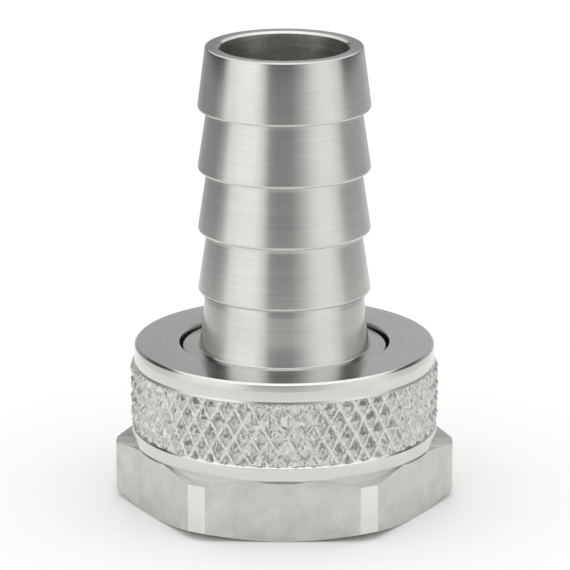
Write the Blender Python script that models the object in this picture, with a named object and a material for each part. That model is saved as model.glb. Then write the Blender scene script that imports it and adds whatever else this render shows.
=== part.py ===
"""Swivel coupling for a garden hose: a barbed hose stem held in a threaded hexagon nut.

The coupling stands on the nut's open face. Its axis is +Z, the origin is the centre of that face,
one hexagon flat faces -Y, and every length is in metres.
"""

import math

import bmesh
import bpy
from mathutils import Matrix, Vector

MM = 0.001

# Swivel nut, outside, from its open face upwards.
NUT_HEIGHT = 18.60 * MM
HEX_FLATS = 34.93 * MM
HEX_CORNER_RADIUS = 19.55 * MM
HEX_HEIGHT = 7.20 * MM
HEX_TOP_CHAMFER = math.radians(21.0)
HEX_FOOT_CHAMFER = math.radians(12.0)
HEX_FOOT_RADIUS = 17.10 * MM
LOWER_BAND_RADIUS = 17.65 * MM
LOWER_BAND_TOP = 8.78 * MM
UPPER_BAND_RADIUS = 17.34 * MM
UPPER_BAND_FOOT = 16.43 * MM
RIM_RADIUS = 17.35 * MM
EDGE_BREAK = 0.16 * MM

# Diamond knurl between the two bands.
KNURL_COUNT = 54
KNURL_CELL_HEIGHT = 3.40 * MM
KNURL_PEAK_RADIUS = 17.80 * MM
KNURL_ROOT_RADIUS = 17.25 * MM
KNURL_BOTTOM = 8.88 * MM
KNURL_TOP = 16.33 * MM
KNURL_RELIEF = 0.05 * MM

# Swivel nut, inside: 3/4-11.5 NH garden hose thread, washer chamber and swivel lip.
THREAD_PITCH = 25.4 * MM / 11.5
THREAD_MINOR_RADIUS = 12.30 * MM
THREAD_MAJOR_RADIUS = 13.65 * MM
THREAD_ROOT_WIDTH = THREAD_PITCH / 8
THREAD_FLANK = math.radians(30.0)
THREAD_MOUTH_RADIUS = 13.90 * MM
THREAD_MOUTH_DEPTH = 1.20 * MM
THREAD_END = 9.50 * MM
CHAMBER_RADIUS = 13.75 * MM
CHAMBER_TAPER = 0.70 * MM
LIP_UNDERSIDE = 16.45 * MM
LIP_HOLE_RADIUS = 12.12 * MM

# Hose stem.
STEM_FOOT = 13.20 * MM
STEM_TOP = 53.40 * MM
STEM_BORE_RADIUS = 7.38 * MM
BORE_CHAMFER = 0.25 * MM
BOSS_RADIUS = 11.75 * MM
BOSS_TOP = 18.15 * MM
GROOVE_RADIUS = 10.40 * MM
GROOVE_BOTTOM = 14.20 * MM
GROOVE_TOP = 16.00 * MM
FLARE_FOOT_RADIUS = 9.95 * MM
NECK_FOOT_RADIUS = 9.43 * MM
NECK_FOOT = 20.90 * MM
NECK_HEAD_RADIUS = 9.19 * MM
NECK_HEAD = 23.86 * MM
NECK_RELIEF_RADIUS = 9.04 * MM
BARB_COUNT = 4
BARB_PITCH = 7.16 * MM
BARB_SMALL_RADIUS = 9.06 * MM
BARB_LARGE_RADIUS = 9.90 * MM
BARB_EDGE_ROUND = 0.45 * MM

# Split retaining ring and sealing washer.
RING_INNER_RADIUS = 11.10 * MM
RING_OUTER_RADIUS = 12.75 * MM
RING_BOTTOM = 14.50 * MM
RING_TOP = 15.70 * MM
RING_GAP = 3.60 * MM
WASHER_OUTER_RADIUS = 12.70 * MM
WASHER_INNER_RADIUS = 7.95 * MM
WASHER_BOTTOM = 9.85 * MM
WASHER_TOP = 12.90 * MM
WASHER_EDGE = 0.50 * MM

TURNED_STEPS = 48
RING_STEPS = 40
THREAD_STEPS_PER_TURN = 44
EDGE_ARC_STEPS = 3
FLARE_STEPS = 4
CUTTER_MARGIN = 2.0 * MM
SMOOTH_ANGLE = math.radians(30.0)


def material(name, color, metallic, roughness):
    made = bpy.data.materials.new(name)
    made.use_nodes = True
    shader = made.node_tree.nodes["Principled BSDF"]
    shader.inputs["Base Color"].default_value = (*color, 1.0)
    shader.inputs["Metallic"].default_value = metallic
    shader.inputs["Roughness"].default_value = roughness
    return made


def place(name, bm, surface=None):
    """Closes off a bmesh as a named, smooth-shaded object in the scene."""
    bmesh.ops.recalc_face_normals(bm, faces=bm.faces)
    mesh = bpy.data.meshes.new(name)
    bm.to_mesh(mesh)
    bm.free()
    mesh.shade_smooth()
    mesh.set_sharp_from_angle(angle=SMOOTH_ANGLE)
    obj = bpy.data.objects.new(name, mesh)
    if surface:
        mesh.materials.append(surface)
    bpy.context.scene.collection.objects.link(obj)
    return obj


def skin(sections, loop=False):
    """A solid through equal-sized closed sections: joined end to end, or capped at both ends."""
    bm = bmesh.new()
    rings = [[bm.verts.new(point) for point in section] for section in sections]
    pairs = list(zip(rings, rings[1:]))
    if loop:
        pairs.append((rings[-1], rings[0]))
    else:
        bm.faces.new(rings[0])
        bm.faces.new(rings[-1])
    for near, far in pairs:
        for i in range(len(near)):
            j = (i + 1) % len(near)
            bm.faces.new((near[i], near[j], far[j], far[i]))
    return bm


def swept(profile, steps, start=0.0, sweep=2 * math.pi, rise=0.0):
    """Copies of an (r, z) profile turned about Z, climbing by rise over the whole sweep."""
    full_turn = rise == 0.0 and math.isclose(sweep, 2 * math.pi)
    sections = []
    for i in range(steps if full_turn else steps + 1):
        turn = Matrix.Rotation(start + sweep * i / steps, 3, "Z")
        lift = Vector((0.0, 0.0, rise * i / steps))
        sections.append([turn @ Vector((r, 0.0, z)) + lift for r, z in profile])
    return skin(sections, loop=full_turn)


def ring_points(radius, z, steps):
    angles = (2 * math.pi * i / steps for i in range(steps))
    return [Vector((radius * math.cos(a), radius * math.sin(a), z)) for a in angles]


def cutter(name, bm, target, operation="DIFFERENCE"):
    """A hidden helper solid that shapes the target through a Boolean modifier."""
    helper = place(name, bm)
    helper.hide_render = True
    helper.display_type = "WIRE"
    boolean = target.modifiers.new(name, "BOOLEAN")
    boolean.operation = operation
    boolean.solver = "EXACT"
    boolean.object = helper
    return helper


def knurl_radius(column, level):
    """Radius of the knurl grid: peaks and roots alternate, and a fractional level lies between."""
    low = math.floor(level)
    share = level - low
    even = (column + low) % 2 == 0
    here, above = (KNURL_PEAK_RADIUS, KNURL_ROOT_RADIUS) if even else (KNURL_ROOT_RADIUS, KNURL_PEAK_RADIUS)
    return here + (above - here) * share


def knurl_levels():
    """Half-cell levels of the knurl grid, counted from its mid height, with its cut ends."""
    reach = (KNURL_TOP - KNURL_BOTTOM) / KNURL_CELL_HEIGHT
    whole = math.floor(reach)
    return [-reach, *range(-whole, whole + 1), reach]


def nut_blank():
    """The nut's outside as one solid: turned flange, bands and rim, with the knurl between them."""
    columns = 2 * KNURL_COUNT
    corner_rise = (HEX_CORNER_RADIUS - HEX_FOOT_RADIUS) * math.tan(HEX_FOOT_CHAMFER)
    corner_drop = (HEX_CORNER_RADIUS - LOWER_BAND_RADIUS) * math.tan(HEX_TOP_CHAMFER)
    below = [
        (HEX_FOOT_RADIUS, 0.0),
        (HEX_CORNER_RADIUS, corner_rise),
        (HEX_CORNER_RADIUS, HEX_HEIGHT - corner_drop),
        (LOWER_BAND_RADIUS, HEX_HEIGHT),
        (LOWER_BAND_RADIUS, LOWER_BAND_TOP),
        (KNURL_ROOT_RADIUS, KNURL_BOTTOM - KNURL_RELIEF),
    ]
    above = [
        (KNURL_ROOT_RADIUS, KNURL_TOP + KNURL_RELIEF),
        (UPPER_BAND_RADIUS, UPPER_BAND_FOOT),
        (RIM_RADIUS, NUT_HEIGHT - EDGE_BREAK),
        (RIM_RADIUS - EDGE_BREAK, NUT_HEIGHT),
    ]
    bm = bmesh.new()
    add = bm.verts.new
    lower = [[add(p) for p in ring_points(r, z, columns)] for r, z in below]
    upper = [[add(p) for p in ring_points(r, z, columns)] for r, z in above]
    levels = knurl_levels()
    middle = (KNURL_TOP + KNURL_BOTTOM) / 2
    grid = []
    for level in levels:
        z = middle + level * KNURL_CELL_HEIGHT / 2
        directions = ring_points(1.0, 0.0, columns)
        radii = [knurl_radius(column, level) for column in range(columns)]
        grid.append([add((d.x * r, d.y * r, z)) for d, r in zip(directions, radii)])
    rows = lower + grid + upper
    bm.faces.new(rows[0])
    bm.faces.new(rows[-1])
    for near, far in zip(rows, rows[1:]):
        in_grid = near in grid and far in grid
        base = math.floor(levels[grid.index(near)]) if in_grid else 0
        for i in range(columns):
            j = (i + 1) % columns
            if not in_grid:
                bm.faces.new((near[i], near[j], far[j], far[i]))
            elif (i + base) % 2 == 0:
                bm.faces.new((near[i], near[j], far[i]))
                bm.faces.new((near[j], far[j], far[i]))
            else:
                bm.faces.new((near[i], near[j], far[j]))
                bm.faces.new((near[i], far[j], far[i]))
    return bm


def hexagon_trimmer():
    """A block with a hexagonal hole, which leaves the six spanner flats on the flange."""
    inner = HEX_FLATS / 2 / math.cos(math.pi / 6)
    outer = HEX_CORNER_RADIUS + 4 * CUTTER_MARGIN
    low = -CUTTER_MARGIN
    high = HEX_HEIGHT + EDGE_BREAK / 2
    hole = ring_points(inner, low, 6)
    rim = ring_points(outer, low, 6)
    up = Vector((0.0, 0.0, high - low))
    corners = ([a, b, b + up, a + up] for a, b in zip(hole, rim))
    return skin(list(corners), loop=True)


def nut_bore():
    """The hollow of the nut: thread mouth, thread crests, washer chamber and lip hole."""
    slope = (THREAD_MOUTH_RADIUS - THREAD_MINOR_RADIUS) / THREAD_MOUTH_DEPTH
    profile = [
        (THREAD_MOUTH_RADIUS + slope * CUTTER_MARGIN, -CUTTER_MARGIN),
        (THREAD_MINOR_RADIUS, THREAD_MOUTH_DEPTH),
        (THREAD_MINOR_RADIUS, THREAD_END),
        (CHAMBER_RADIUS, THREAD_END + CHAMBER_TAPER),
        (CHAMBER_RADIUS, LIP_UNDERSIDE),
        (LIP_HOLE_RADIUS, LIP_UNDERSIDE),
        (LIP_HOLE_RADIUS, NUT_HEIGHT - EDGE_BREAK),
        (LIP_HOLE_RADIUS + EDGE_BREAK + CUTTER_MARGIN, NUT_HEIGHT + CUTTER_MARGIN),
    ]
    return skin([ring_points(r, z, TURNED_STEPS) for r, z in profile])


def thread_groove():
    """The helical groove between the thread crests, from below the mouth up into the chamber."""
    inside = THREAD_MINOR_RADIUS - 0.05 * MM
    root = THREAD_ROOT_WIDTH / 2
    mouth = root + (THREAD_MAJOR_RADIUS - inside) * math.tan(THREAD_FLANK)
    profile = [
        (THREAD_MAJOR_RADIUS, -root),
        (THREAD_MAJOR_RADIUS, root),
        (inside, mouth),
        (inside - 0.5 * MM, mouth),
        (inside - 0.5 * MM, -mouth),
        (inside, -mouth),
    ]
    turns = 6
    bm = swept(
        profile,
        turns * THREAD_STEPS_PER_TURN,
        sweep=2 * math.pi * turns,
        rise=turns * THREAD_PITCH,
    )
    bmesh.ops.translate(bm, vec=(0.0, 0.0, -CUTTER_MARGIN), verts=bm.verts)
    return bm


def swivel_nut(surface):
    nut = place("swivel_nut", nut_blank(), surface)
    cutter("hexagon_trimmer", hexagon_trimmer(), nut)
    cutter("nut_bore", nut_bore(), nut)
    cutter("thread_groove", thread_groove(), nut)
    return nut


def barb(underside):
    """One barb, from its small upper end down over the rounded edge to its underside."""
    centre = Vector((BARB_LARGE_RADIUS - BARB_EDGE_ROUND, underside + BARB_EDGE_ROUND))
    cone = math.atan((BARB_LARGE_RADIUS - BARB_SMALL_RADIUS) / BARB_PITCH)
    points = [(BARB_SMALL_RADIUS, underside + BARB_PITCH)]
    for i in range(EDGE_ARC_STEPS + 1):
        angle = cone + (-math.pi / 2 - cone) * i / EDGE_ARC_STEPS
        arm = Vector((math.cos(angle), math.sin(angle))) * BARB_EDGE_ROUND
        points.append(tuple(centre + arm))
    return points


def flare():
    """The neck's foot, which carries on the neck's taper and widens in a curve down to the boss."""
    height = NECK_FOOT - BOSS_TOP
    taper = (NECK_FOOT_RADIUS - NECK_HEAD_RADIUS) / (NECK_HEAD - NECK_FOOT)
    spread = FLARE_FOOT_RADIUS - NECK_FOOT_RADIUS - taper * height
    points = []
    for i in range(FLARE_STEPS + 1):
        t = i / FLARE_STEPS
        points.append((NECK_FOOT_RADIUS + taper * height * t + spread * t**2, NECK_FOOT - height * t))
    return points


def hose_stem(surface):
    """The turned stem: nose, barbs, neck, flare, boss, ring groove and the through bore."""
    undersides = [STEM_TOP - BARB_PITCH * (i + 1) for i in range(BARB_COUNT)]
    outside = [(BARB_SMALL_RADIUS - EDGE_BREAK, STEM_TOP)]
    for i, underside in enumerate(undersides):
        points = barb(underside)
        if i == 0:
            points[0] = (BARB_SMALL_RADIUS, STEM_TOP - EDGE_BREAK)
        outside += points
    outside += [
        (NECK_RELIEF_RADIUS, undersides[-1]),
        (NECK_RELIEF_RADIUS, NECK_HEAD + EDGE_BREAK),
        (NECK_HEAD_RADIUS, NECK_HEAD),
        *flare(),
        (BOSS_RADIUS - EDGE_BREAK, BOSS_TOP),
        (BOSS_RADIUS, BOSS_TOP - EDGE_BREAK),
        (BOSS_RADIUS, GROOVE_TOP),
        (GROOVE_RADIUS, GROOVE_TOP),
        (GROOVE_RADIUS, GROOVE_BOTTOM),
        (BOSS_RADIUS, GROOVE_BOTTOM),
        (BOSS_RADIUS, STEM_FOOT + EDGE_BREAK),
        (BOSS_RADIUS - EDGE_BREAK, STEM_FOOT),
    ]
    bore = [
        (STEM_BORE_RADIUS + BORE_CHAMFER, STEM_FOOT),
        (STEM_BORE_RADIUS, STEM_FOOT + BORE_CHAMFER),
        (STEM_BORE_RADIUS, STEM_TOP - BORE_CHAMFER),
        (STEM_BORE_RADIUS + BORE_CHAMFER, STEM_TOP),
    ]
    return place("hose_stem", swept(outside + bore, TURNED_STEPS), surface)


def retaining_ring(surface):
    """The split spring ring in the stem's groove, which stops the stem at the nut's lip."""
    profile = [
        (RING_OUTER_RADIUS, RING_TOP),
        (RING_OUTER_RADIUS, RING_BOTTOM),
        (RING_INNER_RADIUS, RING_BOTTOM),
        (RING_INNER_RADIUS, RING_TOP),
    ]
    middle = (RING_INNER_RADIUS + RING_OUTER_RADIUS) / 2
    half_gap = RING_GAP / 2 / middle
    start = -math.pi / 2 + half_gap
    bm = swept(profile, RING_STEPS, start=start, sweep=2 * math.pi - 2 * half_gap)
    return place("retaining_ring", bm, surface)


def sealing_washer(surface):
    """The flat rubber washer under the stem, which rests on the end of the thread."""
    profile = [
        (WASHER_OUTER_RADIUS - WASHER_EDGE, WASHER_TOP),
        (WASHER_OUTER_RADIUS, WASHER_TOP - WASHER_EDGE),
        (WASHER_OUTER_RADIUS, WASHER_BOTTOM + WASHER_EDGE),
        (WASHER_OUTER_RADIUS - WASHER_EDGE, WASHER_BOTTOM),
        (WASHER_INNER_RADIUS, WASHER_BOTTOM),
        (WASHER_INNER_RADIUS, WASHER_TOP),
    ]
    return place("sealing_washer", swept(profile, TURNED_STEPS), surface)


def build():
    for obj in list(bpy.data.objects):
        bpy.data.objects.remove(obj, do_unlink=True)
    steel = (0.62, 0.62, 0.60)
    swivel_nut(material("nut_steel", steel, 1.0, 0.28))
    hose_stem(material("stem_steel", steel, 1.0, 0.24))
    retaining_ring(material("spring_steel", (0.50, 0.50, 0.49), 1.0, 0.35))
    sealing_washer(material("washer_rubber", (0.02, 0.02, 0.02), 0.0, 0.75))


build()
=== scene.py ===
"""Looks of the swivel hose coupling: fine turned meshes, machined steel materials and a plain studio."""

import math

import bmesh
import bpy
import numpy as np
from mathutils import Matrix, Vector


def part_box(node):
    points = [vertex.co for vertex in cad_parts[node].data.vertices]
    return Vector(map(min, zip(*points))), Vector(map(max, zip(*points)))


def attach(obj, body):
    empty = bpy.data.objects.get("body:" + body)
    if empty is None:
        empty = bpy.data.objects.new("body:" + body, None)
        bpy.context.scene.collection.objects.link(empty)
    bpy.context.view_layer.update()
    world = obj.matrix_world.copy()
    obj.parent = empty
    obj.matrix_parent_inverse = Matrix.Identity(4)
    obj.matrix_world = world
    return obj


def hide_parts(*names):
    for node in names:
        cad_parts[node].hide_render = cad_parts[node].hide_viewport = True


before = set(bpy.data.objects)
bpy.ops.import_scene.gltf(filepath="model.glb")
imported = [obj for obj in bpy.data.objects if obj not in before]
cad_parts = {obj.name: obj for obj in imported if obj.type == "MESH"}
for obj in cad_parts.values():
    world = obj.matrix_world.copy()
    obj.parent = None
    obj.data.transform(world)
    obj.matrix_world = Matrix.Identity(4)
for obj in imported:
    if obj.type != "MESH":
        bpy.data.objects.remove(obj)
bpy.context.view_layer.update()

MM = 0.001

# Radii, heights and edge roundings below are in millimetres.
KNURL_COUNT = 54
CELL_HEIGHT = 3.40
KNURL_ROOT = 17.25
KNURL_PEAK = 17.80
KNURL_SPAN = (8.88, 16.20)
CELL_STEPS = 20
# Grid steps by which the two families of grooves are turned from the +X axis.
KNURL_PHASE = (8, 2)
# Faces whose groove height, from 0 to 1, is under this have the smooth finish of a groove's floor.
KNURL_FLOOR = 0.03
# How far a groove may be too deep or too shallow, as a share, and out of place, in grid steps.
GROOVE_DEPTH_FAULT, GROOVE_PLACE_FAULT = 0.05, 0.7
# Lumps that the rolling left on the knurl: size along the surface and depth.
KNURL_WEAR = ((0.50, 0.040), (0.24, 0.075))
THREAD_PITCH = 25.4 / 11.5
TURNED_COLUMNS = 288
NUT_COLUMNS = 360
ARC_STEPS = 5


def top_of(node):
    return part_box(node)[1].z / MM


def foot_of(node):
    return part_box(node)[0].z / MM


def radius_of(node):
    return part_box(node)[1].x / MM


# ---------------------------------------------------------------- outlines


def rounded(corners, closed=False):
    """An (r, z) outline with each (r, z, radius) corner replaced by an arc of ARC_STEPS pieces."""
    points = []
    count = len(corners)
    for i, (r, z, radius) in enumerate(corners):
        here = Vector((r, z))
        if radius <= 0 or (not closed and i in (0, count - 1)):
            points.append(here)
            continue
        back = Vector(corners[i - 1][:2]) - here
        ahead = Vector(corners[(i + 1) % count][:2]) - here
        room = 0.45 * min(back.length, ahead.length)
        turn = back.angle(ahead, math.pi)
        reach = min(radius / math.tan(turn / 2), room)
        start = here + back.normalized() * reach
        end = here + ahead.normalized() * reach
        for k in range(ARC_STEPS + 1):
            t = k / ARC_STEPS
            points.append(start * (1 - t) ** 2 + here * 2 * t * (1 - t) + end * t**2)
    return points


# ---------------------------------------------------------------- meshes


def ring(bm, radii, heights, angles):
    """One row of vertices round the axis, with a radius and a height for each angle."""
    xs = radii * np.cos(angles) * MM
    ys = radii * np.sin(angles) * MM
    zs = heights * MM
    return [bm.verts.new((x, y, z)) for x, y, z in zip(xs, ys, zs)]


def even_angles(count):
    return np.arange(count) * 2 * math.pi / count


def plain_ring(bm, point, angles):
    ones = np.ones(len(angles))
    return ring(bm, point[0] * ones, point[1] * ones, angles)


def bridge(bm, lower, upper, index=0):
    """Quads between two rows of equal length."""
    count = len(lower)
    for i in range(count):
        j = (i + 1) % count
        bm.faces.new((lower[i], lower[j], upper[j], upper[i])).material_index = index


def zip_rows(bm, lower, low_angles, upper, up_angles, index=0):
    """Triangles between two rows whose vertices lie at different angles."""
    i = j = 0
    low_end = np.append(low_angles, low_angles[0] + 2 * math.pi)
    up_end = np.append(up_angles, up_angles[0] + 2 * math.pi)
    while i < len(lower) or j < len(upper):
        a, b = lower[i % len(lower)], upper[j % len(upper)]
        if j == len(upper) or (i < len(lower) and low_end[i + 1] <= up_end[j + 1]):
            i += 1
            face = bm.faces.new((a, lower[i % len(lower)], b))
        else:
            j += 1
            face = bm.faces.new((a, upper[j % len(upper)], b))
        face.material_index = index


def finish_mesh(name, bm, materials, sharp=35.0):
    """A smooth-shaded object in the scene from a bmesh, with its faces pointing out."""
    bmesh.ops.remove_doubles(bm, verts=bm.verts, dist=1e-7)
    bmesh.ops.dissolve_degenerate(bm, edges=bm.edges, dist=1e-8)
    bmesh.ops.recalc_face_normals(bm, faces=bm.faces)
    mesh = bpy.data.meshes.new(name)
    bm.to_mesh(mesh)
    bm.free()
    for material in materials:
        mesh.materials.append(material)
    mesh.shade_smooth()
    mesh.set_sharp_from_angle(angle=math.radians(sharp))
    obj = bpy.data.objects.new(name, mesh)
    bpy.context.scene.collection.objects.link(obj)
    return obj


def turned(name, outline, materials, columns=TURNED_COLUMNS, inside=0.0):
    """A closed (r, z) outline turned about the axis. Faces within a radius take the second finish."""
    bm = bmesh.new()
    angles = even_angles(columns)
    rows = [plain_ring(bm, point, angles) for point in outline]
    radii = [point[0] for point in outline]
    ends = zip(rows, rows[1:] + rows[:1], radii, radii[1:] + radii[:1])
    for lower, upper, low_radius, up_radius in ends:
        bridge(bm, lower, upper, int(max(low_radius, up_radius) < inside))
    return finish_mesh(name, bm, materials)


# ---------------------------------------------------------------- node helpers


class Nodes:
    """Short names for building a node tree."""

    def __init__(self, tree):
        self.tree = tree
        tree.nodes.clear()

    def add(self, kind, **settings):
        node = self.tree.nodes.new(kind)
        for key, value in settings.items():
            setattr(node, key, value)
        return node

    def link(self, source, target):
        self.tree.links.new(source, target)

    def math(self, operation, a, b=0.0):
        node = self.add("ShaderNodeMath", operation=operation)
        for socket, value in zip(node.inputs, (a, b)):
            if isinstance(value, (int, float)):
                socket.default_value = value
            else:
                self.link(value, socket)
        return node.outputs[0]

    def noise(self, vector, scale, detail=2.0, roughness=0.5):
        node = self.add("ShaderNodeTexNoise")
        node.inputs["Scale"].default_value = scale
        node.inputs["Detail"].default_value = detail
        node.inputs["Roughness"].default_value = roughness
        self.link(vector, node.inputs["Vector"])
        return node.outputs["Fac"]

    def remap(self, value, low, high, to_low, to_high):
        node = self.add("ShaderNodeMapRange")
        settings = {"From Min": low, "From Max": high, "To Min": to_low, "To Max": to_high}
        for key, number in settings.items():
            node.inputs[key].default_value = number
        self.link(value, node.inputs["Value"])
        return node.outputs["Result"]

    def ramp(self, value, stops):
        node = self.add("ShaderNodeValToRGB")
        elements = node.color_ramp.elements
        while len(elements) < len(stops):
            elements.new(0.5)
        for element, (position, color) in zip(elements, stops):
            element.position = position
            element.color = (*color, 1.0)
        self.link(value, node.inputs["Fac"])
        return node.outputs["Color"]

    def combine(self, x, y, z):
        node = self.add("ShaderNodeCombineXYZ")
        for socket, value in zip(node.inputs, (x, y, z)):
            if isinstance(value, (int, float)):
                socket.default_value = value
            else:
                self.link(value, socket)
        return node.outputs[0]


def lathe_vector(n, around, across):
    """Texture coordinates stretched along the turning marks of a lathe: fine across, coarse around."""
    place = n.add("ShaderNodeTexCoord").outputs["Object"]
    split = n.add("ShaderNodeSeparateXYZ")
    n.link(place, split.inputs[0])
    x, y, z = split.outputs
    radius = n.math("SQRT", n.math("ADD", n.math("MULTIPLY", x, x), n.math("MULTIPLY", y, y)))
    side = n.math("MULTIPLY", n.math("ADD", x, n.math("MULTIPLY", y, 0.6)), around)
    return n.combine(n.math("MULTIPLY", radius, across), side, n.math("MULTIPLY", z, across))


def steel(name, tones, roughness, marks=0.0, mark_size=2500.0, blotch=260.0, mottle=0.0, grit=0.04,
          grit_size=2600.0, anisotropy=0.0):
    """Machined stainless steel: turning marks, or satin blotches where marks is 0, and fine grit."""
    material = bpy.data.materials.new(name)
    material.use_nodes = True
    n = Nodes(material.node_tree)
    shader = n.add("ShaderNodeBsdfPrincipled")
    output = n.add("ShaderNodeOutputMaterial")
    n.link(shader.outputs[0], output.inputs["Surface"])
    shader.inputs["Metallic"].default_value = 1.0
    shader.inputs["Anisotropic"].default_value = anisotropy
    shader.inputs["Anisotropic Rotation"].default_value = 0.25
    place = n.add("ShaderNodeTexCoord").outputs["Object"]
    cloud = n.noise(place, blotch, 4.0, 0.55)
    grain = n.noise(place, grit_size, 2.0, 0.6)
    fine = n.noise(lathe_vector(n, 60.0, mark_size), 1.0, 3.0, 0.6) if marks else grain
    share = 0.5 if marks else 0.2
    blend = n.math("ADD", n.math("MULTIPLY", fine, share), n.math("MULTIPLY", cloud, 1 - share))
    n.link(n.ramp(blend, [(0.3, tones[0]), (0.7, tones[1])]), shader.inputs["Base Color"])
    n.link(n.remap(blend, 0.3, 0.7, *roughness), shader.inputs["Roughness"])
    if anisotropy:
        tangent = n.add("ShaderNodeTangent", direction_type="RADIAL", axis="Z")
        n.link(tangent.outputs[0], shader.inputs["Tangent"])
    height = n.math("ADD", n.math("MULTIPLY", fine, marks), n.math("MULTIPLY", cloud, mottle))
    height = n.math("ADD", height, n.math("MULTIPLY", grain, grit))
    bump = n.add("ShaderNodeBump")
    bump.inputs["Strength"].default_value = 1.0
    bump.inputs["Distance"].default_value = 0.01 * MM
    n.link(height, bump.inputs["Height"])
    n.link(bump.outputs[0], shader.inputs["Normal"])
    return material


def rubber(name):
    """Black moulded rubber with a fine talc bloom."""
    material = bpy.data.materials.new(name)
    material.use_nodes = True
    n = Nodes(material.node_tree)
    shader = n.add("ShaderNodeBsdfPrincipled")
    output = n.add("ShaderNodeOutputMaterial")
    n.link(shader.outputs[0], output.inputs["Surface"])
    place = n.add("ShaderNodeTexCoord").outputs["Object"]
    bloom = n.noise(place, 320.0, 5.0, 0.6)
    grain = n.noise(place, 4200.0, 2.0, 0.6)
    n.link(n.ramp(bloom, [(0.35, (0.012, 0.012, 0.013)), (0.75, (0.035, 0.034, 0.033))]),
           shader.inputs["Base Color"])
    n.link(n.remap(bloom, 0.3, 0.7, 0.55, 0.78), shader.inputs["Roughness"])
    bump = n.add("ShaderNodeBump")
    bump.inputs["Strength"].default_value = 0.5
    bump.inputs["Distance"].default_value = 0.02 * MM
    n.link(grain, bump.inputs["Height"])
    n.link(bump.outputs[0], shader.inputs["Normal"])
    return material


# ---------------------------------------------------------------- hose stem

STEM_BORE = 7.38
BORE_CHAMFER = 0.25
BARB_SMALL, BARB_LARGE = 9.06, 9.90
BARB_PITCH = 7.16
BARBS = 4
BARB_RELIEF, RELIEF_HEIGHT = 8.96, 0.60
BARB_EDGE = 0.92
BOSS_TOP = 18.15
RING_GROOVE, GROOVE_FOOT, GROOVE_TOP = 10.40, 14.20, 16.00
NECK_HEAD = (9.19, 23.86)
NECK_FOOT = (9.43, 20.90)
FLARE_FOOT = 9.95


def flare(steps=10):
    """The neck's foot: it carries on the neck's taper and widens in a curve down to the boss."""
    height = NECK_FOOT[1] - BOSS_TOP
    taper = (NECK_FOOT[0] - NECK_HEAD[0]) / (NECK_HEAD[1] - NECK_FOOT[1])
    spread = FLARE_FOOT - NECK_FOOT[0] - taper * height
    shares = [i / steps for i in range(steps + 1)]
    radius, level = NECK_FOOT
    return [(radius + taper * height * t + spread * t * t, level - height * t) for t in shares]


def stem_outline():
    """The stem's closed outline, from the nose down the outside and back up the bore."""
    top, foot, boss = top_of("hose_stem"), foot_of("hose_stem"), radius_of("hose_stem")
    corners = [(BARB_SMALL - 0.04, top, 0.20)]
    for i in range(BARBS):
        underside = top - BARB_PITCH * (i + 1)
        if i:
            corners.append((BARB_RELIEF, underside + BARB_PITCH, 0.05))
            corners.append((BARB_RELIEF, underside + BARB_PITCH - RELIEF_HEIGHT, 0.6))
        corners.append((BARB_LARGE + 0.05, underside, BARB_EDGE))
    last = top - BARB_PITCH * BARBS
    corners += [
        (9.04, last, 0.06),
        (9.08, NECK_HEAD[1] + 0.60, 0.25),
        (*NECK_HEAD, 0.05),
        *((r, z, 0.0) for r, z in flare()[:-1]),
        (FLARE_FOOT, BOSS_TOP, 0.22),
        (boss, BOSS_TOP, 0.24),
        (boss, GROOVE_TOP, 0.08),
        (RING_GROOVE, GROOVE_TOP, 0.10),
        (RING_GROOVE, GROOVE_FOOT, 0.10),
        (boss, GROOVE_FOOT, 0.08),
        (boss, foot, 0.14),
        (STEM_BORE, foot, 0.22),
        (STEM_BORE, top - BORE_CHAMFER, 0.05),
        (STEM_BORE + BORE_CHAMFER, top, 0.05),
    ]
    return rounded(corners, closed=True)


def build_stem(outside, bore):
    inside = STEM_BORE + 0.01
    stem = turned("hose_stem_fine", stem_outline(), [outside, bore], inside=inside)
    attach(stem, "stem")
    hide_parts("hose_stem")


# ---------------------------------------------------------------- swivel nut

HEX_HALF = 17.465
HEX_CORNER = 19.55
HEX_FOOT = 17.30
HEX_TOP = 7.20
BAND_FOOT = 7.25
LOWER_BAND = 17.65
UPPER_BAND = 17.31
LIP_HOLE = 12.12
THREAD_MINOR, THREAD_MAJOR = 12.30, 13.65
CHAMBER = 13.75
MOUTH = 13.90
TOP_SLOPE = math.tan(math.radians(21.0))
FOOT_SLOPE = math.tan(math.radians(22.0))
CORNER_EDGE = 0.05
HEX_SECTOR = math.radians(60.0)
LIP_UNDERSIDE = 16.45
CHAMBER_FOOT = 10.20
THREAD_END = 9.50
MOUTH_DEPTH = 1.20
THREAD_FLANK = math.tan(math.radians(30.0))
# Width of the flat at the thread's crests and roots, as a share of the pitch, to either side of it.
THREAD_FLAT = 1 / 16
RIM_COLUMNS = 240
# Places of the nut's finishes in its list of materials.
TURNED, FLATS, KNURL, FACE, CORNERS, GROOVES = range(6)


def flange_angles():
    """Angles round the hexagon, closer together at the vertical edges of its turned corners."""
    edge = math.acos(HEX_HALF / HEX_CORNER)
    half = HEX_SECTOR / 2
    offsets = set(np.linspace(-half, half, NUT_COLUMNS // 6, endpoint=False))
    for side in (-edge, edge):
        offsets |= {side + math.radians(d) for d in (-0.6, -0.3, -0.15, 0.0, 0.15, 0.3, 0.6)}
    sectors = [half + k * HEX_SECTOR for k in range(6)]
    return np.array(sorted(s + o for s in sectors for o in offsets))


def flange_radius(angle):
    """Radius of the flange at an angle: a flat, softly joined to the turned corner."""
    from_flat = (angle % HEX_SECTOR) - HEX_SECTOR / 2
    flat = HEX_HALF / math.cos(from_flat)
    gap = max(CORNER_EDGE - abs(flat - HEX_CORNER), 0.0) / CORNER_EDGE
    return min(flat, HEX_CORNER) - gap * gap * CORNER_EDGE / 4


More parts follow.
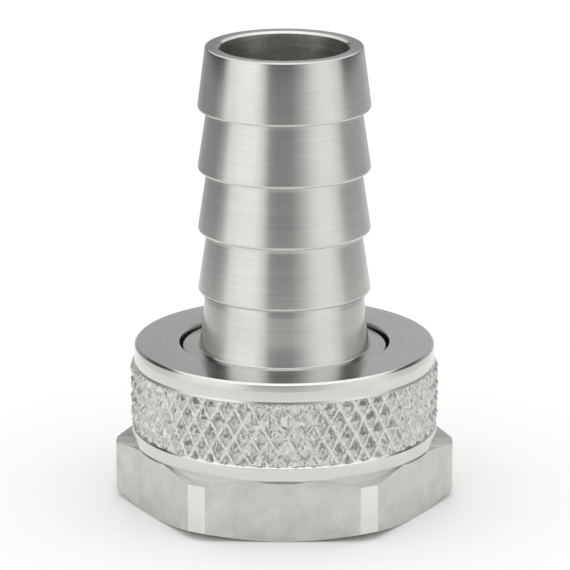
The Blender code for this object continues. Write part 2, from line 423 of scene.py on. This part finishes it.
def flange_outline(angle):
    """The nut's outline at one angle, from the thread mouth out and up to the foot of the knurl.

    Where a flat lies inside the band above it, the milling cutter has left a small slot under the band.
    """
    radius = flange_radius(angle)
    foot = (radius - HEX_FOOT) * FOOT_SLOPE
    slot = math.sqrt(min(max(LOWER_BAND - radius, 0.0) / (LOWER_BAND - HEX_HALF), 1.0))
    head = HEX_TOP - max(radius - LOWER_BAND, 0.0) * TOP_SLOPE - 0.30 * slot
    shelf = min(radius - 0.02, LOWER_BAND - 0.05) - 0.50 * slot
    return rounded(
        [
            (MOUTH, 0.0, 0.0),
            (MOUTH + 0.6, 0.0, 0.0),
            (HEX_FOOT, 0.0, 0.3),
            (radius, foot, 0.10),
            (radius, head, 0.10 - 0.06 * slot),
            (shelf, head + 0.01 + 0.01 * (1 - slot), 0.02),
            (shelf, BAND_FOOT, 0.02),
            (LOWER_BAND, BAND_FOOT + 0.01, 0.05),
            (LOWER_BAND, 8.70, 0.08),
            (LOWER_BAND - 0.16, 8.84, 0.04),
            (KNURL_ROOT + 0.20, KNURL_SPAN[0] - 0.01, 0.0),
        ]
    )


def add_flange(bm):
    """Rows of the flange and the lower band. Returns the first and last row."""
    angles = flange_angles()
    outlines = [flange_outline(a) for a in angles]
    rows = []
    for points in zip(*outlines):
        radii = np.array([p[0] for p in points])
        heights = np.array([p[1] for p in points])
        rows.append(ring(bm, radii, heights, angles))
    steps = ARC_STEPS + 1
    flat_row = 2 + 2 * steps - 1
    for i, (lower, upper) in enumerate(zip(rows, rows[1:])):
        bridge(bm, lower, upper)
        if i == flat_row:
            mark_flats(lower, angles)
    return rows[0], rows[-1], angles


def mark_flats(lower, angles):
    """Gives the six flats and the turned corners between them their own finishes; the corners' lighter
    tone is painted light.
    """
    edge = math.acos(HEX_HALF / HEX_CORNER)
    for i, vertex in enumerate(lower):
        following = lower[(i + 1) % len(lower)]
        middle = angles[i] + (angles[(i + 1) % len(angles)] - angles[i]) % (2 * math.pi) / 2
        finish = FLATS if abs(middle % HEX_SECTOR - HEX_SECTOR / 2) < edge else CORNERS
        for face in vertex.link_faces:
            upright = all(abs(v.co.xy.length - vertex.co.xy.length) < 0.2 * MM for v in face.verts)
            if following in face.verts and upright and face.calc_center_median().z > vertex.co.z:
                face.material_index = finish


def groove_height(steps):
    """Height of one family of knurl grooves: 0 in its round-bottomed grooves and 1 at the peaks."""
    away = np.abs((steps / CELL_STEPS + 0.5) % 1.0 - 0.5) * 2
    floor, bend, crown = 0.10, 0.22, 0.93
    rise = np.clip((away - floor) / (crown - floor), 0.0, 1.0)
    return np.where(rise < bend, rise * rise / (2 * bend), rise - bend / 2) / (1 - bend / 2)


def value_noise(around, up, cells, rng):
    """Smooth noise from -1 to 1. around runs from 0 to 1 and repeats, and up counts cells."""
    table = rng.uniform(-1.0, 1.0, (cells, 80))
    u, v = around * cells, up + 40.0
    i, j = np.floor(u).astype(int), np.floor(v).astype(int)
    s, t = u - i, v - j
    s, t = s * s * (3 - 2 * s), t * t * (3 - 2 * t)
    i, nxt = i % cells, (i + 1) % cells
    low = table[i, j] * (1 - s) + table[nxt, j] * s
    high = table[i, j + 1] * (1 - s) + table[nxt, j + 1] * s
    return low * (1 - t) + high * t


def knurl_field(columns, rows):
    """Radius of the knurl at grid places, with the faults of a rolled diamond pattern."""
    rng = np.random.default_rng(11)
    deep = rng.uniform(-GROOVE_DEPTH_FAULT, GROOVE_DEPTH_FAULT, (2, KNURL_COUNT))
    skew = rng.uniform(-GROOVE_PLACE_FAULT, GROOVE_PLACE_FAULT, (2, KNURL_COUNT))
    height = None
    for family, steps in enumerate((columns + rows, columns - rows)):
        steps = steps + KNURL_PHASE[family]
        groove = np.round(steps / CELL_STEPS).astype(int) % KNURL_COUNT
        rise = groove_height(steps + skew[family][groove])
        rise = rise + deep[family][groove] * (1 - rise)
        height = rise if height is None else np.minimum(height, rise)
    around = columns / (KNURL_COUNT * CELL_STEPS)
    up = rows * CELL_HEIGHT / CELL_STEPS
    radius = KNURL_ROOT + 0.03 + (KNURL_PEAK - 0.03 - KNURL_ROOT) * np.clip(height, 0.0, 1.0)
    for size, depth in KNURL_WEAR:
        cells = round(2 * math.pi * KNURL_ROOT / size)
        radius = radius + depth * value_noise(around, up / size, cells, rng)
    inside = (KNURL_SPAN[1] - KNURL_SPAN[0]) / 2 - np.abs(up)
    shallow = KNURL_ROOT + 0.20 - 1.4 * inside
    chamfer = KNURL_ROOT + 0.24 + 1.3 * inside
    return np.minimum(np.maximum(radius, shallow), np.minimum(chamfer, KNURL_PEAK))


def add_knurl(bm):
    """The diamond knurl, whose grid lies along its grooves. Returns the first and last row."""
    columns = KNURL_COUNT * CELL_STEPS
    angles = even_angles(columns)
    step = CELL_HEIGHT / CELL_STEPS
    low, high = KNURL_SPAN
    middle = (low + high) / 2
    reach = int((high - middle) / step)
    levels = [(low - middle) / step, *range(-reach, reach + 1), (high - middle) / step]
    index = np.arange(columns)
    rows = []
    for level in levels:
        radii = knurl_field(index, np.full(columns, float(level)))
        rows.append(ring(bm, radii, np.full(columns, middle + level * step), angles))
    for k, (lower, upper) in enumerate(zip(rows, rows[1:])):
        level = (levels[k] + levels[k + 1]) / 2
        centre = index + 0.5
        one, other = centre + level + KNURL_PHASE[0], centre - level + KNURL_PHASE[1]
        high_one, high_other = groove_height(one), groove_height(other)
        along_one = high_one < high_other
        finish = np.where(np.minimum(high_one, high_other) < KNURL_FLOOR, GROOVES, KNURL)
        for i in range(columns):
            j = (i + 1) % columns
            if along_one[i]:
                halves = (lower[i], lower[j], upper[i]), (lower[j], upper[j], upper[i])
            else:
                halves = (lower[i], lower[j], upper[j]), (lower[i], upper[j], upper[i])
            for half in halves:
                bm.faces.new(half).material_index = int(finish[i])
    return rows[0], rows[-1], angles


def rim_outline():
    """The nut's outline from the head of the knurl over the rim and down through the lip's hole."""
    top = top_of("swivel_nut")
    return rounded(
        [
            (KNURL_ROOT + 0.20, KNURL_SPAN[1] + 0.01, 0.0),
            (UPPER_BAND + 0.13, KNURL_SPAN[1] + 0.03, 0.03),
            (UPPER_BAND - 0.01, 16.47, 0.03),
            (UPPER_BAND + 0.02, 16.70, 0.1),
            (UPPER_BAND + 0.02, top - 0.95, 0.9),
            (UPPER_BAND - 0.03, top - 0.24, 0.10),
            (UPPER_BAND - 0.27, top, 0.10),
            (LIP_HOLE, top, 0.16),
            (LIP_HOLE, LIP_UNDERSIDE, 0.10),
            (CHAMBER, LIP_UNDERSIDE, 0.25),
            (CHAMBER, CHAMBER_FOOT, 0.0),
        ]
    )


def thread_radius(angle, z):
    """Radius of the hollow at a height: thread crests and grooves, mouth chamfer and relief."""
    turn = (z / THREAD_PITCH - angle / (2 * math.pi) + 0.5) % 1.0 - 0.5
    away = abs(turn) * THREAD_PITCH
    groove = THREAD_MAJOR - max(away - THREAD_FLAT * THREAD_PITCH, 0.0) / THREAD_FLANK
    mouth = MOUTH - (MOUTH - THREAD_MINOR) / MOUTH_DEPTH * z
    slope = (CHAMBER - THREAD_MINOR) / (CHAMBER_FOOT - THREAD_END)
    relief = THREAD_MINOR + max(z - THREAD_END, 0.0) * slope
    return max(THREAD_MINOR, groove, mouth, relief)


def add_thread(bm):
    """The internal hose thread as a grid whose rows climb with the helix."""
    columns, top, root = RIM_COLUMNS, CHAMBER_FOOT, THREAD_FLAT
    crest = root + (THREAD_MAJOR - THREAD_MINOR) * THREAD_FLANK / THREAD_PITCH
    shares = [-root, root, (root + crest) / 2, crest - 0.02, crest + 0.01]
    shares += [1 - crest - 0.01, 1 - crest + 0.02, 1 - (root + crest) / 2]
    turns = range(-2, math.ceil(top / THREAD_PITCH) + 1)
    offsets = [(turn + share) * THREAD_PITCH for turn in turns for share in shares]
    grid = []
    for i in range(columns):
        angle = 2 * math.pi * i / columns
        column = []
        for offset in offsets:
            z = min(max(offset + THREAD_PITCH * i / columns, 0.0), top)
            r = thread_radius(angle, z)
            column.append(bm.verts.new((r * math.cos(angle) * MM, r * math.sin(angle) * MM, z * MM)))
        grid.append(column)
    for i in range(columns):
        here = grid[i]
        following = grid[(i + 1) % columns]
        shift = len(shares) if i == columns - 1 else 0
        for j in range(len(offsets) - 1 - shift):
            corners = (here[j], here[j + 1], following[j + 1 + shift], following[j + shift])
            bm.faces.new(corners)


def build_nut(materials):
    """The nut. Its materials are in the order of TURNED to GROOVES."""
    bm = bmesh.new()
    first, last, angles = add_flange(bm)
    knurl_first, knurl_last, knurl_angles = add_knurl(bm)
    zip_rows(bm, last, angles, knurl_first, knurl_angles)
    rim_angles = even_angles(RIM_COLUMNS)
    rows = [plain_ring(bm, point, rim_angles) for point in rim_outline()]
    zip_rows(bm, knurl_last, knurl_angles, rows[0], rim_angles)
    top = top_of("swivel_nut") * MM
    for lower, upper in zip(rows, rows[1:]):
        level = abs(lower[0].co.z - top) < 1e-6 and abs(upper[0].co.z - top) < 1e-6
        bridge(bm, lower, upper, FACE if level else TURNED)
    mouth = plain_ring(bm, (MOUTH, 0.0), rim_angles)
    zip_rows(bm, mouth, rim_angles, first, angles)
    add_thread(bm)
    nut = finish_mesh("swivel_nut_fine", bm, materials, sharp=24.0)
    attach(nut, "nut")
    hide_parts("swivel_nut")


# ---------------------------------------------------------------- ring and washer


RING_OUTER, RING_INNER = 12.75, 11.10
RING_GAP = 3.60
WASHER_HOLE = 7.95


def build_ring(material):
    """The split retaining ring, with rolled edges and square-cut ends."""
    low, high = foot_of("retaining_ring"), top_of("retaining_ring")
    outer, inner = RING_OUTER, RING_INNER
    corners = [(outer, high, 0.22), (outer, low, 0.22), (inner, low, 0.22), (inner, high, 0.22)]
    outline = rounded(corners, closed=True)
    half_gap = RING_GAP / (outer + inner)
    angles = np.linspace(-math.pi / 2 + half_gap, 1.5 * math.pi - half_gap, 161)
    bm = bmesh.new()
    sections = []
    for angle in angles:
        c, s = math.cos(angle) * MM, math.sin(angle) * MM
        sections.append([bm.verts.new((p[0] * c, p[0] * s, p[1] * MM)) for p in outline])
    bm.faces.new(sections[0])
    bm.faces.new(sections[-1])
    for near, far in zip(sections, sections[1:]):
        bridge(bm, near, far)
    piece = finish_mesh("retaining_ring_fine", bm, [material])
    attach(piece, "ring")
    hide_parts("retaining_ring")


def build_washer(material):
    """The rubber washer, with soft moulded edges."""
    low, high = foot_of("sealing_washer"), top_of("sealing_washer")
    outer, inner = radius_of("sealing_washer"), WASHER_HOLE
    corners = [(outer, high, 0.35), (outer, low, 0.35), (inner, low, 0.25), (inner, high, 0.25)]
    piece = turned("sealing_washer_fine", rounded(corners, closed=True), [material], columns=192)
    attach(piece, "nut")
    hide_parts("sealing_washer")


# ---------------------------------------------------------------- studio


def build_floor():
    """A plain white table, which isn't part of the object."""
    bm = bmesh.new()
    bmesh.ops.create_circle(bm, cap_ends=True, segments=96, radius=3.0)
    mesh = bpy.data.meshes.new("floor")
    bm.to_mesh(mesh)
    bm.free()
    material = bpy.data.materials.new("table_white")
    material.use_nodes = True
    shader = material.node_tree.nodes["Principled BSDF"]
    shader.inputs["Base Color"].default_value = (0.86, 0.86, 0.85, 1.0)
    shader.inputs["Roughness"].default_value = 0.9
    shader.inputs["Specular IOR Level"].default_value = 0.2
    mesh.materials.append(material)
    floor = bpy.data.objects.new("floor", mesh)
    bpy.context.scene.collection.objects.link(floor)


WALL_RADIUS = 0.080
WALL_HEIGHT = 0.080
WALL_FADE = 0.010
# Between these heights the dark cloths turn darker still, their strength raised to this power.
WALL_DEEPENS, WALL_POWER = (0.055, 0.070), 1.8
# At the sides they do so lower down and by more, between these angles from the front.
SIDE_DEEPENS, SIDE_POWER = (0.046, 0.054), 1.6
SIDE_FROM, SIDE_TO = (80.0, 92.0), (132.0, 148.0)
# Shade in the fold where the wall meets the table, and its height.
WALL_FOLD = (0.20, 0.0025)
# Strength of the cloths at angles from the front, in degrees, positive towards the right.
WALL_LIGHT = [
    (-180, 0.52),
    (-155, 0.44),
    (-131, 0.33),
    (-100, 0.31),
    (-88, 0.50),
    (-76, 1.05),
    (-55, 1.22),
    (-38, 1.22),
    (-27, 0.90),
    (-18, 0.36),
    (-8, 0.30),
    (10, 0.31),
    (24, 0.58),
    (38, 0.95),
    (50, 1.08),
    (64, 1.08),
    (76, 0.90),
    (88, 0.50),
    (100, 0.44),
    (125, 0.46),
    (145, 0.56),
    (180, 0.52),
]


def wall_material():
    """Light and dark cloths hung round the object, all fading to the white of the table at their foot."""
    material = bpy.data.materials.new("light_tent")
    material.use_nodes = True
    material.cycles.emission_sampling = "NONE"
    n = Nodes(material.node_tree)
    emission = n.add("ShaderNodeEmission")
    output = n.add("ShaderNodeOutputMaterial")
    n.link(emission.outputs[0], output.inputs["Surface"])
    split = n.add("ShaderNodeSeparateXYZ")
    n.link(n.add("ShaderNodeTexCoord").outputs["Object"], split.inputs[0])
    x, y, z = split.outputs
    azimuth = n.math("ARCTAN2", x, n.math("MULTIPLY", y, -1.0))
    share = n.remap(azimuth, -math.pi, math.pi, 0.0, 1.0)
    cloth = n.ramp(share, [(a / 360 + 0.5, (v / 2, v / 2, v / 2)) for a, v in WALL_LIGHT])
    cloth = n.math("MULTIPLY", cloth, 2.0)
    turn = n.math("ABSOLUTE", azimuth)
    side = n.remap(turn, *(math.radians(a) for a in SIDE_FROM), 0.0, 1.0)
    side = n.math("MULTIPLY", side, n.remap(turn, *(math.radians(a) for a in SIDE_TO), 1.0, 0.0))
    side = n.math("MULTIPLY", side, n.remap(z, *SIDE_DEEPENS, 0.0, SIDE_POWER))
    power = n.math("ADD", side, n.remap(z, *WALL_DEEPENS, 1.0, WALL_POWER))
    cloth = n.math("POWER", cloth, power)
    fade = n.math("POWER", math.e, n.math("MULTIPLY", z, -1 / WALL_FADE))
    lift = n.math("MULTIPLY", fade, n.math("SUBTRACT", 1.0, cloth))
    fold = n.math("POWER", math.e, n.math("MULTIPLY", z, -1 / WALL_FOLD[1]))
    shade = n.math("SUBTRACT", 1.0, n.math("MULTIPLY", fold, WALL_FOLD[0]))
    n.link(n.math("MULTIPLY", n.math("ADD", cloth, lift), shade), emission.inputs["Strength"])
    return material


def build_wall():
    """The tent wall, which only shows in reflections."""
    bm = bmesh.new()
    angles = even_angles(96)
    rows = [plain_ring(bm, (WALL_RADIUS / MM, z), angles) for z in (0.2, WALL_HEIGHT / MM)]
    bridge(bm, *rows)
    mesh = bpy.data.meshes.new("light_tent")
    bm.to_mesh(mesh)
    bm.free()
    mesh.materials.append(wall_material())
    wall = bpy.data.objects.new("light_tent", mesh)
    bpy.context.scene.collection.objects.link(wall)
    wall.visible_camera = False
    wall.visible_diffuse = False
    wall.visible_transmission = False
    wall.visible_shadow = False


ROOM_LIGHT = 1.04
ROOM_OVERHEAD = 0.92


def build_world():
    """Soft even room light, a little stronger overhead."""
    world = bpy.data.worlds.new("studio")
    world.use_nodes = True
    bpy.context.scene.world = world
    n = Nodes(world.node_tree)
    background = n.add("ShaderNodeBackground")
    output = n.add("ShaderNodeOutputWorld")
    n.link(background.outputs[0], output.inputs["Surface"])
    split = n.add("ShaderNodeSeparateXYZ")
    n.link(n.add("ShaderNodeTexCoord").outputs["Generated"], split.inputs[0])
    z = split.outputs[2]
    lift = n.math("MULTIPLY", ROOM_OVERHEAD, n.math("MULTIPLY", z, z))
    n.link(n.math("ADD", ROOM_LIGHT, lift), background.inputs["Strength"])


CAMERA_DISTANCE = 0.5
CAMERA_AZIMUTH = math.radians(0.6)
CAMERA_ELEVATION = math.radians(15.75)
CAMERA_HEIGHT = 0.027
CAMERA_AIM = Vector((0.00007, 0.0, 0.02519))
LENS = 274.7


def build_camera():
    """A long lens, a little above the object, looking straight at one hexagon flat."""
    camera = bpy.data.cameras.new("camera")
    camera.lens = LENS
    camera.sensor_width = 36.0
    obj = bpy.data.objects.new("camera", camera)
    reach = CAMERA_DISTANCE * math.cos(CAMERA_ELEVATION)
    obj.location = (
        reach * math.sin(CAMERA_AZIMUTH),
        -reach * math.cos(CAMERA_AZIMUTH),
        CAMERA_HEIGHT + CAMERA_DISTANCE * math.sin(CAMERA_ELEVATION),
    )
    obj.rotation_euler = (CAMERA_AIM - obj.location).to_track_quat("-Z", "Y").to_euler()
    bpy.context.scene.collection.objects.link(obj)
    bpy.context.scene.camera = obj


WARM = (1.0, 1.0, 0.965)


def tone(value):
    return tuple(value * c for c in WARM)


build_camera()
build_stem(
    steel("steel_turned", (tone(0.58), tone(0.66)), (0.15, 0.22), marks=0.5, anisotropy=0.5),
    steel("steel_bored", (tone(0.54), tone(0.64)), (0.22, 0.34), marks=0.2, mark_size=1500.0,
          anisotropy=0.4),
)
build_nut([
    steel("steel_nut", (tone(0.62), tone(0.71)), (0.15, 0.22), marks=0.45, mark_size=1800.0,
          anisotropy=0.5),
    steel("steel_flats", (tone(0.50), tone(0.65)), (0.26, 0.38), blotch=420.0, mottle=0.6),
    # Partly painted shade: the knurl's darker overall tone stands in for the shade between its teeth. Its
    # patchy spread is random tone.
    steel("steel_knurl_painted_shade", (tone(0.38), tone(0.75)), (0.12, 0.24), blotch=2200.0, mottle=0.8, grit=3.4,
          grit_size=5200.0),
    steel("steel_face", (tone(0.60), tone(0.68)), (0.13, 0.20), marks=0.3, anisotropy=0.6),
    # Painted light: the turned corners get a lighter copy of the nut's turned steel, standing in for a
    # brighter reflection at the sides.
    steel("steel_corners_painted_light", (tone(0.73), tone(0.78)), (0.14, 0.20), marks=0.3, anisotropy=0.4),
    steel("steel_grooves", (tone(0.58), tone(0.76)), (0.20, 0.30), blotch=1500.0, mottle=0.4, grit=1.0),
])
build_ring(steel("steel_spring", (tone(0.44), tone(0.52)), (0.28, 0.42), marks=0.6))
build_washer(rubber("rubber_black"))
build_floor()
build_world()
build_wall()

bpy.context.scene.view_settings.view_transform = "Standard"
